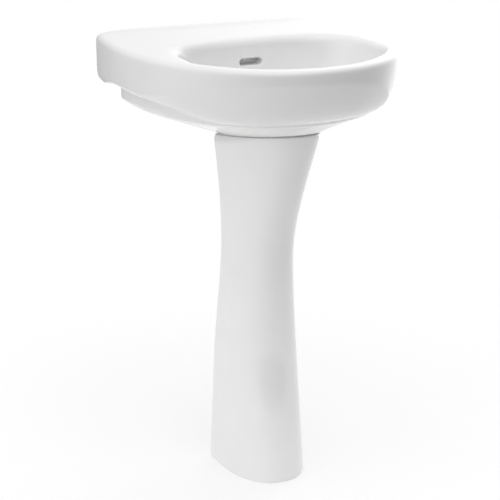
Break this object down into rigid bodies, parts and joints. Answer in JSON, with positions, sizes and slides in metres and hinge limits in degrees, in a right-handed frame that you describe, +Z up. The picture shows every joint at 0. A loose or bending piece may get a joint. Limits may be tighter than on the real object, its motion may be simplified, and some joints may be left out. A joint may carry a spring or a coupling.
{
  "type": "pedestal sink",
  "caption": "White glazed wash basin with a bow front and an overflow slot, standing on a slim waisted column that hides its waste and bottle trap.",
  "frame": {"origin": "on the floor, centred under the basin's width and depth", "axes": "+X to the right seen from the front, +Y to the wall, +Z up"},
  "size_m": [0.526, 0.465, 0.823],
  "materials": {
    "china": "glossy white glaze",
    "rubber": "matt black",
    "sealant": "pale cushion strip",
    "nylon": "natural nylon",
    "chrome": "polished",
    "brass": "turned",
    "steel": "drawn wire",
    "plastic": "moulded white"
  },
  "bodies": {
    "sink": {"basin": "china", "pedestal": "china", "seat_gasket": "sealant", "bolt_bushes": "nylon", "waste_body": "chrome", "waste_top_seal": "rubber", "waste_gasket": "rubber", "waste_slip_washer": "nylon", "waste_backnut": "brass", "waste_cartridge": "nylon", "waste_spring": "steel", "trap_inlet_nut": "plastic", "trap_inlet_washer": "rubber", "trap_dip_tube": "plastic", "trap_neck_nut": "plastic", "trap_neck_washer": "rubber", "trap_body": "plastic", "trap_cup": "plastic", "trap_cup_seal": "rubber", "trap_outlet_nut": "plastic", "trap_outlet_washer": "rubber", "trap_outlet_pipe": "plastic"},
    "plug": {"waste_plug": "chrome", "waste_plug_seal": "rubber"}
  },
  "joints": [
    {"name": "plug_lift", "type": "slide", "parent": "sink", "child": "plug", "axis": [0, 0, 1], "range_m": [0, 0.008], "deforming": ["waste_spring"]}
  ]
}
